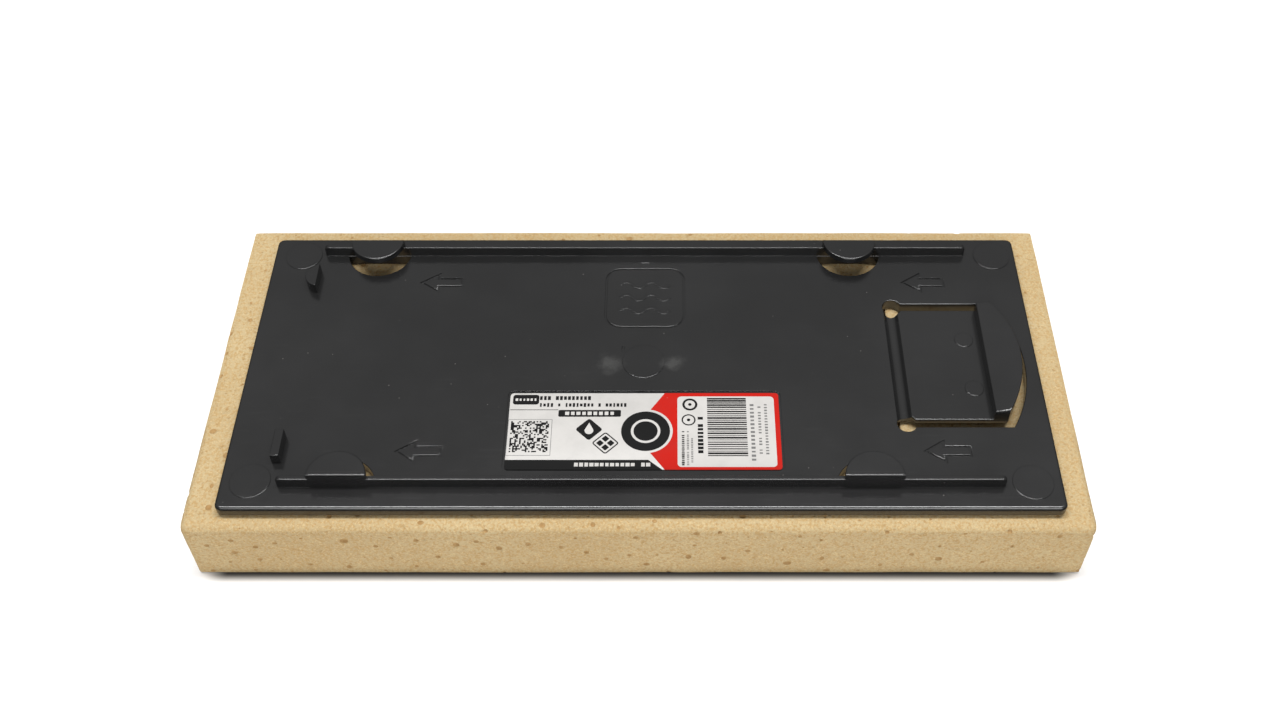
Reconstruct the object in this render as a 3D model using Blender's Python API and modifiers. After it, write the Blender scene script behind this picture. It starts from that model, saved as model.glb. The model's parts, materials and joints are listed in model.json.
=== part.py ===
"""Slide-on sponge base of a grout float.

A block of cut foam is glued under a moulded carrier plate. The float's handle slides in between two
rails, under four half-round hooks, until it meets two stop ribs, and a springy latch tongue snaps up behind
it. The tongue bends on a thin U-shaped web of the same moulding.

Metres, +Z up. The origin is the centre of the sponge's underside, and +X is the end with the latch.
"""

from math import acos, asin, cos, pi, sin

import bmesh
import bpy
from mathutils import Matrix

# --- Sponge block and adhesive layer ---
SPONGE_LENGTH = 0.300
SPONGE_WIDTH = 0.135
SPONGE_HEIGHT = 0.0279
SPONGE_EDGE_ROUND = 0.0006
GLUE_THICKNESS = 0.0003
GLUE_GAP = 0.0002  # kept between the glue and each face it holds
GLUE_INSET = 0.002  # from the carrier plate's edge
GLUE_CLEARANCE = 0.0015  # around every opening of the plate

# --- Carrier plate ---
PLATE_INSET_X = 0.0110  # from the sponge's ends, before the shift below
PLATE_INSET_Y = 0.0066  # from the sponge's long sides
PLATE_THICKNESS = 0.0045
PLATE_SHIFT_X = 0.0009  # the plate isn't quite centred on the sponge
PLATE_SHIFT_Y = -0.0020
PLATE_CORNER_RADIUS = 0.003
PLATE_EDGE_ROUND = 0.0008

# --- Rails, hooks and stops: the bay for the handle's base plate ---
BAY_SIDE_INSET = 0.0095  # from the plate's long sides to the rails' inner faces
BAY_SHIFT_Y = 0.0007  # of the rails' midline from the plate's
RAIL_END_INSET = 0.0192  # from the plate's ends to the rails'
RAIL_THICKNESS = 0.0017
RAIL_HEIGHT = 0.0043
BAY_HEIGHT = 0.0044  # under the hooks
HOOK_RADIUS = 0.0098
HOOK_THICKNESS = 0.0025
HOOK_INSETS = (0.0396, 0.0628)  # from the plate's left and right ends to the hooks' centres
HOOK_EDGE_ROUND = 0.0005
MOULD_HOLE_MARGIN = 0.0020  # the hole under each hook is this much larger
STOP_INSET = 0.0190  # from the plate's left end to the stops' faces
STOP_SIDE_INSET = 0.0134  # from the rails to the stops' middles
STOP_LENGTH = 0.0108
STOP_THICKNESS = 0.0030
STOP_BULGE = 0.0015  # extra thickness at the middle of the rounded stop

# --- Latch ---
CUTOUT_TIP_INSET = 0.0048  # from the plate's right end to the opening's round end
CUTOUT_RISE = 0.0078  # from the opening's corners to its tip
TAB_GAP = 0.0024  # between the tab's tip and the opening
TAB_RISE = 0.0071  # from the tab's corners to its tip
TAB_LENGTH = 0.0121
TAB_HEIGHT_LEFT = 0.0045  # over the plate's face
TAB_CLIMB = 0.0020  # the tab's top climbs by this to its tip
PANEL_LENGTH = 0.0278  # between the hinge groove and the tab
TONGUE_WIDTH = 0.0495
TONGUE_THICKNESS = 0.0021
SLOT_WIDTH = 0.0031
HINGE_WIDTH = 0.0049  # of the groove over the hinge web
HINGE_DEPTH = 0.0021
WEB_THICKNESS = 0.0011
RELIEF_HOLE_RADIUS = 0.0034
RELIEF_HOLE_SHIFT = 0.00065  # from the groove's middle
PIECE_GAP = 0.0003  # between the web and its two neighbours

# --- Label ---
LABEL_LENGTH = 0.0925
LABEL_WIDTH = 0.0322
LABEL_THICKNESS = 0.0002
LABEL_SHIFT_X = 0.00055  # from the plate's middle
LABEL_RAIL_GAP = 0.0053  # from the front rail
LABEL_CORNER_RADIUS = 0.0012
LABEL_GAP = 0.0002
POCKET_DEPTH = 0.0005
POCKET_MARGIN = 0.0008

# --- Levels and places worked out from the sizes above ---
PLATE_LENGTH = SPONGE_LENGTH - 2 * PLATE_INSET_X
PLATE_WIDTH = SPONGE_WIDTH - 2 * PLATE_INSET_Y
PLATE_BOTTOM = SPONGE_HEIGHT + 2 * GLUE_GAP + GLUE_THICKNESS
PLATE_TOP = PLATE_BOTTOM + PLATE_THICKNESS
RAIL_TOP = PLATE_TOP + RAIL_HEIGHT
BAY_CEILING = PLATE_TOP + BAY_HEIGHT
HOOK_TOP = BAY_CEILING + HOOK_THICKNESS
TONGUE_BOTTOM = PLATE_TOP - TONGUE_THICKNESS
CUTOUT_TIP = PLATE_LENGTH / 2 - CUTOUT_TIP_INSET
CUTOUT_CORNER = CUTOUT_TIP - CUTOUT_RISE
TAB_TIP = CUTOUT_TIP - TAB_GAP
TAB_CORNER = TAB_TIP - TAB_RISE
TAB_LEFT = TAB_TIP - TAB_LENGTH
HINGE_RIGHT = TAB_LEFT - PANEL_LENGTH
HINGE_LEFT = HINGE_RIGHT - HINGE_WIDTH
HINGE_X = PLATE_SHIFT_X + (HINGE_LEFT + HINGE_RIGHT) / 2
HINGE_Z = PLATE_TOP - HINGE_DEPTH - WEB_THICKNESS / 2
BAY_Y = PLATE_SHIFT_Y + BAY_SHIFT_Y
BAY_WIDTH = PLATE_WIDTH - 2 * BAY_SIDE_INSET
BAY_LEFT = STOP_INSET - PLATE_LENGTH / 2
RAIL_LENGTH = PLATE_LENGTH - 2 * RAIL_END_INSET
RAIL_OUTER = BAY_WIDTH / 2 + RAIL_THICKNESS
HOOK_XS = (HOOK_INSETS[0] - PLATE_LENGTH / 2, PLATE_LENGTH / 2 - HOOK_INSETS[1])
STOP_SPACING = BAY_WIDTH - 2 * STOP_SIDE_INSET
RELIEF_HOLE_X = (HINGE_LEFT + HINGE_RIGHT) / 2 + RELIEF_HOLE_SHIFT
RELIEF_HOLE_Y = TONGUE_WIDTH / 2 + SLOT_WIDTH / 2
MOULD_HOLE_RADIUS = HOOK_RADIUS + MOULD_HOLE_MARGIN
LABEL_X = PLATE_SHIFT_X + LABEL_SHIFT_X
LABEL_Y = BAY_Y - BAY_WIDTH / 2 + LABEL_RAIL_GAP + LABEL_WIDTH / 2
THROUGH = 0.004  # how far a cutter reaches past a face
OVERLAP = 0.0005  # how far joined shapes run into each other
STEP = 0.0001  # sets one face off from another, where two would lie in one plane
ROUND_STEPS = 24
WELD = 0.00001
FLAT_ANGLE = 0.001  # faces closer than this in direction are one flat face


def clear_scene():
    for thing in list(bpy.data.objects):
        bpy.data.objects.remove(thing, do_unlink=True)


def collection(name):
    made = bpy.data.collections.new(name)
    bpy.context.scene.collection.children.link(made)
    return made


def material(name, colour, roughness):
    made = bpy.data.materials.new(name)
    made.use_nodes = True
    shader = made.node_tree.nodes["Principled BSDF"]
    shader.inputs["Base Color"].default_value = (*colour, 1.0)
    shader.inputs["Roughness"].default_value = roughness
    shader.inputs["Metallic"].default_value = 0.0
    return made


def arc_points(centre_x, centre_y, radius, start, end, steps):
    """Points along an arc from the angle start to the angle end."""
    turn = (end - start) / steps
    return [
        (centre_x + radius * cos(start + turn * i), centre_y + radius * sin(start + turn * i))
        for i in range(steps + 1)
    ]


def bulged_side(x_corner, x_tip, half_width, steps=16):
    """A shallow arc from the lower corner, through the tip, to the upper corner."""
    rise = x_tip - x_corner
    radius = (half_width**2 + rise**2) / (2 * rise)
    half_angle = asin(half_width / radius)
    return arc_points(x_tip - radius, 0, radius, -half_angle, half_angle, steps)


def rounded_rectangle(length, width, radius, steps=5):
    """The outline of a rectangle about the origin with round corners."""
    points = []
    for quarter, (side_x, side_y) in enumerate(((1, 1), (-1, 1), (-1, -1), (1, -1))):
        centre_x = side_x * (length / 2 - radius)
        centre_y = side_y * (width / 2 - radius)
        start = quarter * pi / 2
        points += arc_points(centre_x, centre_y, radius, start, start + pi / 2, steps)
    return points


def prism(name, outline, bottom, top, place=(0, 0)):
    """A flat outline, as a filled curve, raised from bottom to top and made a mesh."""
    curve = bpy.data.curves.new(name, "CURVE")
    curve.dimensions = "2D"
    curve.fill_mode = "BOTH"
    curve.extrude = (top - bottom) / 2
    spline = curve.splines.new("POLY")
    spline.points.add(len(outline) - 1)
    for point, (x, y) in zip(spline.points, outline):
        point.co = (x, y, 0, 1)
    spline.use_cyclic_u = True
    drawn = bpy.data.objects.new(f"{name}_outline", curve)
    bpy.context.scene.collection.objects.link(drawn)
    bpy.context.view_layer.update()
    evaluated = drawn.evaluated_get(bpy.context.evaluated_depsgraph_get())
    mesh = bpy.data.meshes.new_from_object(evaluated)
    work = bmesh.new()
    work.from_mesh(mesh)
    bmesh.ops.remove_doubles(work, verts=work.verts, dist=WELD)
    bmesh.ops.dissolve_limit(work, angle_limit=FLAT_ANGLE, verts=work.verts, edges=work.edges)
    bmesh.ops.recalc_face_normals(work, faces=work.faces)
    work.to_mesh(mesh)
    work.free()
    bpy.data.objects.remove(drawn, do_unlink=True)
    made = bpy.data.objects.new(name, mesh)
    made.location = (place[0], place[1], (bottom + top) / 2)
    return made


def side_prism(name, outline, front, back):
    """An outline drawn in X and Z, with its length along Y from front to back."""
    made = prism(name, outline, front, back)
    made.rotation_euler = (pi / 2, 0, 0)
    made.location = (0, (front + back) / 2, 0)
    return made


def box(name, size, centre):
    bpy.ops.mesh.primitive_cube_add(size=1)
    made = bpy.context.object
    made.name = name
    made.data.name = name
    made.scale = size
    made.location = centre
    bpy.ops.object.transform_apply(location=False, rotation=False, scale=True)
    return made


def put(thing, group, finish=None):
    """Moves an object into its collection and gives it its material."""
    for old in list(thing.users_collection):
        old.objects.unlink(thing)
    group.objects.link(thing)
    if finish:
        thing.data.materials.clear()
        thing.data.materials.append(finish)
    return thing


def hide_cutter(thing, group):
    put(thing, group)
    thing.hide_render = True
    thing.display_type = "WIRE"
    return thing


def combine(target, others, operation, group):
    """Unites the target with other shapes, or cuts them out of it."""
    for other in others:
        hide_cutter(other, group)
        step = target.modifiers.new(other.name, "BOOLEAN")
        step.operation = operation
        step.solver = "EXACT"
        step.object = other


def bevel(thing, width, segments=2, angle=0.6):
    step = thing.modifiers.new("edge_round", "BEVEL")
    step.width = width
    step.segments = segments
    step.limit_method = "ANGLE"
    step.angle_limit = angle
    step.harden_normals = False


def half_disc(name, side, bottom, top, place):
    """A half disc whose round side faces the bay; side is +1 for the rear rail and -1 for the front."""
    start = pi if side > 0 else 0
    outline = arc_points(0, 0, HOOK_RADIUS, start, start + pi, ROUND_STEPS)
    outline = [(x, y + side * 2 * STEP) for x, y in outline]
    return prism(name, outline, bottom, top, place)


def tongue_outline(grow, left, corner, tip):
    """The tongue seen from above, or its opening when it is grown."""
    half = TONGUE_WIDTH / 2 + grow
    return [(left, half), (left, -half)] + bulged_side(corner, tip, half)


def relief_holes(name, bottom, top, grow=0.0):
    """The two round holes that end the hinge groove."""
    circle = arc_points(0, 0, RELIEF_HOLE_RADIUS + grow, 0, 2 * pi, ROUND_STEPS)[:-1]
    holes = []
    for side in (-1, 1):
        place = (PLATE_SHIFT_X + RELIEF_HOLE_X, PLATE_SHIFT_Y + side * RELIEF_HOLE_Y)
        holes.append(prism(f"{name}_{'front' if side < 0 else 'rear'}", circle, bottom, top, place))
    return holes


def sponge_block(group, finish):
    made = box(
        "sponge_block",
        (SPONGE_LENGTH, SPONGE_WIDTH, SPONGE_HEIGHT),
        (0, 0, SPONGE_HEIGHT / 2),
    )
    bevel(made, SPONGE_EDGE_ROUND)
    return put(made, group, finish)


def adhesive_layer(group, cutters, finish):
    """A thin layer under the plate, left out under the latch and around the holes."""
    bottom = SPONGE_HEIGHT + GLUE_GAP
    top = bottom + GLUE_THICKNESS
    made = prism(
        "adhesive_layer",
        rounded_rectangle(PLATE_LENGTH - 2 * GLUE_INSET, PLATE_WIDTH - 2 * GLUE_INSET, 0.002),
        bottom,
        top,
        (PLATE_SHIFT_X, PLATE_SHIFT_Y),
    )
    low = bottom - THROUGH
    high = top + THROUGH
    grow = SLOT_WIDTH + GLUE_CLEARANCE
    opening = prism(
        "glue_cut_latch",
        tongue_outline(
            grow, HINGE_LEFT - GLUE_CLEARANCE, CUTOUT_CORNER, CUTOUT_TIP + GLUE_CLEARANCE
        ),
        low,
        high,
        (PLATE_SHIFT_X, PLATE_SHIFT_Y),
    )
    cuts = [opening] + relief_holes("glue_cut_relief", low, high, GLUE_CLEARANCE)
    cuts += mould_holes("glue_cut_hook", low, high, GLUE_CLEARANCE)
    combine(made, cuts, "DIFFERENCE", cutters)
    return put(made, group, finish)


def mould_holes(name, bottom, top, grow=0.0):
    """The half-moon holes under the hooks, which end at the rails' inner faces."""
    holes = []
    radius = MOULD_HOLE_RADIUS + grow
    flat = RAIL_THICKNESS + STEP - grow
    reach = acos(flat / radius)
    for side in (-1, 1):
        middle = -side * pi / 2
        outline = arc_points(0, 0, radius, middle - reach, middle + reach, ROUND_STEPS)
        for end, x in zip(("left", "right"), HOOK_XS):
            place = (PLATE_SHIFT_X + x, BAY_Y + side * RAIL_OUTER)
            label = f"{name}_{'front' if side < 0 else 'rear'}_{end}"
            holes.append(prism(label, outline, bottom, top, place))
    return holes


def rails():
    """Two straight ribs with rounded ends, one along each side of the bay."""
    made = []
    for side in (-1, 1):
        outline = rounded_rectangle(RAIL_LENGTH, RAIL_THICKNESS, RAIL_THICKNESS / 2 - WELD)
        middle = BAY_Y + side * (BAY_WIDTH + RAIL_THICKNESS) / 2
        name = f"rail_{'front' if side < 0 else 'rear'}"
        made.append(prism(name, outline, PLATE_TOP - OVERLAP, RAIL_TOP, (PLATE_SHIFT_X, middle)))
    return made


def hooks():
    """Four half discs on the rails that reach over the bay, each on a short wall as thick as the rail."""
    made = []
    for side in (-1, 1):
        for end, x in zip(("left", "right"), HOOK_XS):
            label = f"{'front' if side < 0 else 'rear'}_{end}"
            place = (PLATE_SHIFT_X + x, BAY_Y + side * RAIL_OUTER)
            disc = half_disc(f"hook_{label}", side, BAY_CEILING, HOOK_TOP, place)
            bevel(disc, HOOK_EDGE_ROUND, 1, 0.9)
            made.append(disc)
            reach = HOOK_RADIUS - OVERLAP
            outer = side * STEP
            inner = -side * (RAIL_THICKNESS - STEP)
            wall = [(-reach, outer), (reach, outer), (reach, inner), (-reach, inner)]
            low = PLATE_TOP - OVERLAP
            made.append(prism(f"hook_wall_{label}", wall, low, BAY_CEILING + OVERLAP, place))
    return made


def stops():
    """Two short ribs that end the bay: a plain one in front and a round-backed one behind."""
    face = PLATE_SHIFT_X + BAY_LEFT
    half = STOP_LENGTH / 2
    plain = [(0, -half), (0, half), (-STOP_THICKNESS, half), (-STOP_THICKNESS, -half)]
    deep = STOP_THICKNESS + STOP_BULGE
    radius = (half**2 + deep**2) / (2 * deep)
    reach = asin(half / radius)
    rounded = arc_points(radius - deep, 0, radius, pi - reach, pi + reach, 12)
    front = (face, BAY_Y - STOP_SPACING / 2)
    rear = (face, BAY_Y + STOP_SPACING / 2)
    return [
        prism("stop_front", plain, PLATE_TOP - OVERLAP, RAIL_TOP, front),
        prism("stop_rear", rounded, PLATE_TOP - OVERLAP, RAIL_TOP, rear),
    ]


def carrier_plate(group, cutters, finish):
    """The moulding that doesn't move: plate, rails, hooks and stops, with the latch cut free."""
    place = (PLATE_SHIFT_X, PLATE_SHIFT_Y)
    outline = rounded_rectangle(PLATE_LENGTH, PLATE_WIDTH, PLATE_CORNER_RADIUS)
    made = prism("carrier_plate", outline, PLATE_BOTTOM, PLATE_TOP, place)
    bevel(made, PLATE_EDGE_ROUND)
    low = PLATE_BOTTOM - THROUGH
    high = PLATE_TOP + THROUGH
    holes = mould_holes("mould_hole", low, high)
    combine(made, holes, "DIFFERENCE", cutters)
    combine(made, rails() + stops() + hooks(), "UNION", cutters)
    opening = tongue_outline(SLOT_WIDTH, HINGE_RIGHT, CUTOUT_CORNER, CUTOUT_TIP)
    groove_half = RELIEF_HOLE_Y
    groove = [
        (HINGE_LEFT, -groove_half),
        (HINGE_RIGHT + OVERLAP, -groove_half),
        (HINGE_RIGHT + OVERLAP, groove_half),
        (HINGE_LEFT, groove_half),
    ]
    cuts = [
        prism("latch_opening", opening, low, high, place),
        prism("hinge_opening", groove, low, high, place),
    ]
    cuts += relief_holes("relief_hole", low, high)
    pocket = rounded_rectangle(
        LABEL_LENGTH + 2 * POCKET_MARGIN,
        LABEL_WIDTH + 2 * POCKET_MARGIN,
        LABEL_CORNER_RADIUS + POCKET_MARGIN,
    )
    pocket_floor = PLATE_TOP - POCKET_DEPTH
    cuts.append(prism("label_pocket", pocket, pocket_floor, high, (LABEL_X, LABEL_Y)))
    combine(made, cuts, "DIFFERENCE", cutters)
    return put(made, group, finish)


def latch_hinge_web(group, cutters, finish):
    """The U-shaped strip that the tongue bends on, cut round at its ends by the relief holes."""
    half = (HINGE_RIGHT - HINGE_LEFT) / 2
    inner = (half**2 + HINGE_DEPTH**2) / (2 * HINGE_DEPTH)
    outer = inner + WEB_THICKNESS
    centre_z = PLATE_TOP - HINGE_DEPTH + inner
    reach = half - PIECE_GAP
    inner_turn = asin(reach / inner)
    outer_turn = asin(reach / outer)
    down = -pi / 2
    top_side = arc_points(HINGE_X, centre_z, inner, down - inner_turn, down + inner_turn, 10)
    under_side = arc_points(HINGE_X, centre_z, outer, down + outer_turn, down - outer_turn, 10)
    ends = RELIEF_HOLE_Y
    made = side_prism(
        "latch_hinge_web", top_side + under_side, PLATE_SHIFT_Y - ends, PLATE_SHIFT_Y + ends
    )
    low = PLATE_BOTTOM - THROUGH
    combine(made, relief_holes("web_cut", low, PLATE_TOP + THROUGH), "DIFFERENCE", cutters)
    return put(made, group, finish)


def latch_tongue(group, cutters, finish, pivot):
    """The moving panel with its raised thumb tab, whose origin is on the hinge axis."""
    left = HINGE_RIGHT + PIECE_GAP
    place = (PLATE_SHIFT_X, PLATE_SHIFT_Y)
    tab_left = PLATE_SHIFT_X + TAB_LEFT
    tab_tip = PLATE_SHIFT_X + TAB_TIP
    tab_low = PLATE_TOP + TAB_HEIGHT_LEFT
    tab_high = tab_low + TAB_CLIMB
    slope = TAB_CLIMB / TAB_LENGTH
    made = prism(
        "latch_tongue", tongue_outline(0.0, left, TAB_CORNER, TAB_TIP), TONGUE_BOTTOM, tab_high, place
    )
    over_panel_and_tab = [
        (PLATE_SHIFT_X + left - THROUGH, PLATE_TOP),
        (tab_left, PLATE_TOP),
        (tab_left, tab_low),
        (tab_tip + THROUGH, tab_high + slope * THROUGH),
        (tab_tip + THROUGH, tab_high + THROUGH),
        (PLATE_SHIFT_X + left - THROUGH, tab_high + THROUGH),
    ]
    reach = TONGUE_WIDTH / 2 + THROUGH
    front = PLATE_SHIFT_Y - reach
    rear = PLATE_SHIFT_Y + reach
    cuts = [side_prism("tongue_top_cut", over_panel_and_tab, front, rear)]
    cuts += relief_holes("tongue_cut", PLATE_BOTTOM - THROUGH, PLATE_TOP + THROUGH)
    combine(made, cuts, "DIFFERENCE", cutters)
    made.data.transform(Matrix.Translation(made.location - pivot.location))
    made.location = (0, 0, 0)
    made.parent = pivot
    return put(made, group, finish)


def latch_pivot(group):
    """An empty on the hinge axis: the middle of the web's lowest stretch."""
    made = bpy.data.objects.new("latch_pivot", None)
    made.empty_display_size = 0.01
    made.location = (HINGE_X, PLATE_SHIFT_Y, HINGE_Z)
    group.objects.link(made)
    return made


def label(group, finish):
    bottom = PLATE_TOP - POCKET_DEPTH + LABEL_GAP
    made = prism(
        "label",
        rounded_rectangle(LABEL_LENGTH, LABEL_WIDTH, LABEL_CORNER_RADIUS),
        bottom,
        bottom + LABEL_THICKNESS,
        (LABEL_X, LABEL_Y),
    )
    return put(made, group, finish)


def main():
    clear_scene()
    group = collection("grout_float")
    cutters = collection("cutters")
    foam = material("foam", (0.62, 0.46, 0.27), 0.95)
    glue = material("glue", (0.75, 0.70, 0.55), 0.6)
    moulding = material("black_moulding", (0.035, 0.035, 0.038), 0.45)
    printed = material("printed_label", (0.80, 0.78, 0.76), 0.35)
    sponge_block(group, foam)
    adhesive_layer(group, cutters, glue)
    carrier_plate(group, cutters, moulding)
    latch_hinge_web(group, cutters, moulding)
    pivot = latch_pivot(group)
    latch_tongue(group, cutters, moulding, pivot)
    label(group, printed)


main()
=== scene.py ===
"""Looks of a grout float's slide-on sponge base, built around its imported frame.

A block of cut foam carries a black moulded plate with two rails, four hooks, two stops and a springy
latch. A printed label lies in a shallow pocket of the plate. Metres, +X is the latch end, +Z is up.
"""

import json
from functools import partial
from math import acos, asin, cos, pi, radians, sin, sqrt, tan

import bmesh
import bpy
from bpy.props import FloatProperty, FloatVectorProperty, IntProperty, PointerProperty
from mathutils import Matrix, Vector

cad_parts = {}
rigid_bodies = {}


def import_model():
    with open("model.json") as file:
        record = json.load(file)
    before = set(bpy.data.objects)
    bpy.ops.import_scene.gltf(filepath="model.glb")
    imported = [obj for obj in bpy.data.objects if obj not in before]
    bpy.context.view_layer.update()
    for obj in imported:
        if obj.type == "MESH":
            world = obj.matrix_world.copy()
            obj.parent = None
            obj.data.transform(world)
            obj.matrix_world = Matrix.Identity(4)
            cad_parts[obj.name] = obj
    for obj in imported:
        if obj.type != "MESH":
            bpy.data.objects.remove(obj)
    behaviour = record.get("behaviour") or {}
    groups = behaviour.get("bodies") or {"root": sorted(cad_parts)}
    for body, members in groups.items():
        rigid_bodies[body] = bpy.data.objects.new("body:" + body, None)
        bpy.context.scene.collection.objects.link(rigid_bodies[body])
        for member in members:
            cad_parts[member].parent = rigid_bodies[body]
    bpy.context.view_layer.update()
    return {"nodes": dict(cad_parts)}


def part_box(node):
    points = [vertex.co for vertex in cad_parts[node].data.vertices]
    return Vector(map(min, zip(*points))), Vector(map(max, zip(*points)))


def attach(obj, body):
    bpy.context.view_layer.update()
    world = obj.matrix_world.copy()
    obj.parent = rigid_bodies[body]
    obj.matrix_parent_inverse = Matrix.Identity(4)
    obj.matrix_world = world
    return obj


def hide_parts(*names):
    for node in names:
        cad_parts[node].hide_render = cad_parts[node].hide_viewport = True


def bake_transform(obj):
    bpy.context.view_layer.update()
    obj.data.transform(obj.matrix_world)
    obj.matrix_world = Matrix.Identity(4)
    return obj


bl_info = {
    "name": "Grout float sponge base",
    "version": (1, 0, 0),
    "blender": (4, 5, 0),
    "location": "3D View > Sidebar > Grout float",
    "description": "Builds the looks of a slide-on sponge base around its packed frame",
    "category": "Object",
}

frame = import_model()
SPONGE_LOW, SPONGE_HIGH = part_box("sponge_block")
PLATE_LOW, PLATE_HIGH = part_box("carrier_plate")
TONGUE_LOW, TONGUE_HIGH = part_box("latch_tongue")
WEB_LOW, WEB_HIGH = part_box("latch_hinge_web")
LABEL_LOW, LABEL_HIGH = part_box("label")

# --- Places on the moulding, worked out from the frame ---
PLATE_X = (PLATE_LOW.x + PLATE_HIGH.x) / 2
PLATE_Y = (PLATE_LOW.y + PLATE_HIGH.y) / 2
LATCH_Y = (TONGUE_LOW.y + TONGUE_HIGH.y) / 2
TONGUE_HALF = (TONGUE_HIGH.y - TONGUE_LOW.y) / 2
LABEL_X = (LABEL_LOW.x + LABEL_HIGH.x) / 2
LABEL_Y = (LABEL_LOW.y + LABEL_HIGH.y) / 2
BAY_Y = PLATE_Y + 0.0007
HINGE_GAP = 0.0003  # between the web and its two neighbours
HINGE_LEFT = WEB_LOW.x - HINGE_GAP
HINGE_RIGHT = WEB_HIGH.x + HINGE_GAP
RELIEF_X = (HINGE_LEFT + HINGE_RIGHT) / 2 + 0.00065
RELIEF_RADIUS = 0.0034
GROOVE_DEPTH = 0.0021  # of the hinge groove over its web
WEB_THICKNESS = 0.0011
STOP_FACE = PLATE_LOW.x + 0.0190
STOP_HALF = 0.0054
STOP_SIDE_INSET = 0.0134  # from the rails to the stops' middles
STOP_THICKNESS = 0.0030
ROUND_STOP_THICKNESS = 0.0045
STOP_EDGE = 0.0003
RAIL_END_INSET = 0.0192
RAIL_NOSE = 0.0018  # radius of the upper corner of a rail's end
RAIL_FILLET = 0.00005
BARE_FILLET = 0.00002  # where the rail borders a mould hole
BARE_MARGIN = 0.0026  # that stretch reaches this far past the hook
BARE_FADE = 0.0006  # over which the fillet comes back
HOOK_EDGE = 0.00045  # radius of the hooks' upper edge
HOOK_CHAMFER = 0.00025  # along their lower edge
HOOK_OFFSET = 0.00003  # past the rail's outer face
OVER_RAIL = 0.0001  # the hooks' ceiling lies this far over the rails
HOOK_XS = (PLATE_LOW.x + 0.0396, PLATE_HIGH.x - 0.0628)
CUTOUT_TIP = PLATE_HIGH.x - 0.0048
CUTOUT_CORNER = CUTOUT_TIP - 0.0078
TAB_CORNER = TONGUE_HIGH.x - 0.0071
TAB_LEFT = TONGUE_HIGH.x - 0.0121
TAB_CLIMB = 0.0020  # the tab's top climbs by this to its tip
TAB_EDGE = 0.0005

# --- Foam ---
FOAM_EDGE = 0.0006  # radius of the block's nearly sharp edges
GIVE_EDGE = 0.0004  # radius of the edges of the foam that gives way under the latch
GIVE_FLOOR = 0.012  # height of that foam's foot
GIVE_ENDS = (0.0015, 0.0020)  # from the hinge groove and from the plate's end
GIVE_REACH = 0.0070  # past the tongue's sides
GIVE_GAP = 0.0006  # between that foam and the pocket round it
POCKET_ABOVE = 0.004  # the cutter reaches this far out of the block

# --- Small details of the moulding ---
SINK = 0.0003  # how far an added shape reaches into the one that it stands on
HOLE_EDGE = 0.0003
MOULD_HOLE_MARGIN = 0.0020  # the hole under each hook is this much larger
LABEL_MARGIN = 0.0008  # between the label and the pocket's sides
LABEL_POCKET_CORNER = 0.002
UNDER_LABEL = 0.0001  # between the label and the pocket's floor
MARK_EDGE = 0.00018
MARK_RISE = 0.00028  # of the round ejector marks
ENGRAVED = 0.00045  # depth of the arrows' and the emblem's line
LINE_WIDTH = 0.00070  # of the arrows' and the emblem's line
EJECTOR_MARKS = ((-0.128, -0.052), (0.1298, -0.0526), (-0.127, 0.050), (0.131, 0.050))
EJECTOR_RADIUS = 0.0068
GATE_MARK = (0.0010, -0.0012)
GATE_RADIUS = 0.0075
NICK = (-0.0063, 0.0045)
PANEL_MARKS = ((0.1151, 0.0087), (0.1159, -0.0133))
PANEL_MARK_RADIUS = 0.0033
BLOTCHES = (((-0.0108, -0.0020), 0.0060), ((0.0112, -0.0014), 0.0050))
ARROWS = ((-0.0740, 0.0365), (-0.0740, -0.0400), (0.1035, 0.0365), (0.1033, -0.0399))
EMBLEM = (0.0012, 0.0290)
EMBLEM_SIZE = 0.0292
EMBLEM_CORNER = 0.006
EMBLEM_TAG = (EMBLEM[0], EMBLEM[1] + 0.0175)
# An arrow's outline in millimetres
ARROW = ((-8.0, 0), (-0.6, -4.9), (-0.6, -2.2), (8.0, -2.2), (8.0, 2.2), (-0.6, 2.2), (-0.6, 4.9))
FULL_TURN = 2 * pi


# --- Settings ---


def amount(name, description, default, **more):
    return FloatProperty(name=name, description=description, default=default, **more)


def length(name, description, default, precision=4):
    return amount(name, description, default, unit="LENGTH", precision=precision)


def tint(name, description, default):
    return FloatVectorProperty(
        name=name, description=description, default=default, subtype="COLOR", size=3, min=0.0, max=1.0
    )


class SpongeSettings(bpy.types.PropertyGroup):
    """Sizes and colours of the foam."""

    top: length("Top", "Height of the foam's upper face, just under the plate", SPONGE_HIGH.z + 0.0002)
    edge_round: length("Edge round", "Radius of the block's softened edges", 0.0036)
    cell: length("Mesh cell", "Size of the cells that the block's faces are divided into", 0.003)
    unevenness: length("Unevenness", "How far the cut faces wander in and out", 0.00025, 5)
    pore_spacing: length("Pore spacing", "Least distance between two open pores", 0.0066)
    pore_radius: length("Largest pore", "Radius of the largest open pore", 0.0019, 5)
    seed: IntProperty(name="Pore seed", description="Picks where the pores lie", default=11)
    colour: tint("Foam colour", "Main colour of the foam", (0.455, 0.345, 0.188))
    # Painted shade: the dark colour that stands for the shade deep inside the pores; it also darkens
    # the foam's grain.
    grain_and_pore_shade_colour: tint("Pore colour", "Colour deep inside the pores", (0.365, 0.222, 0.090))


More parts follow.
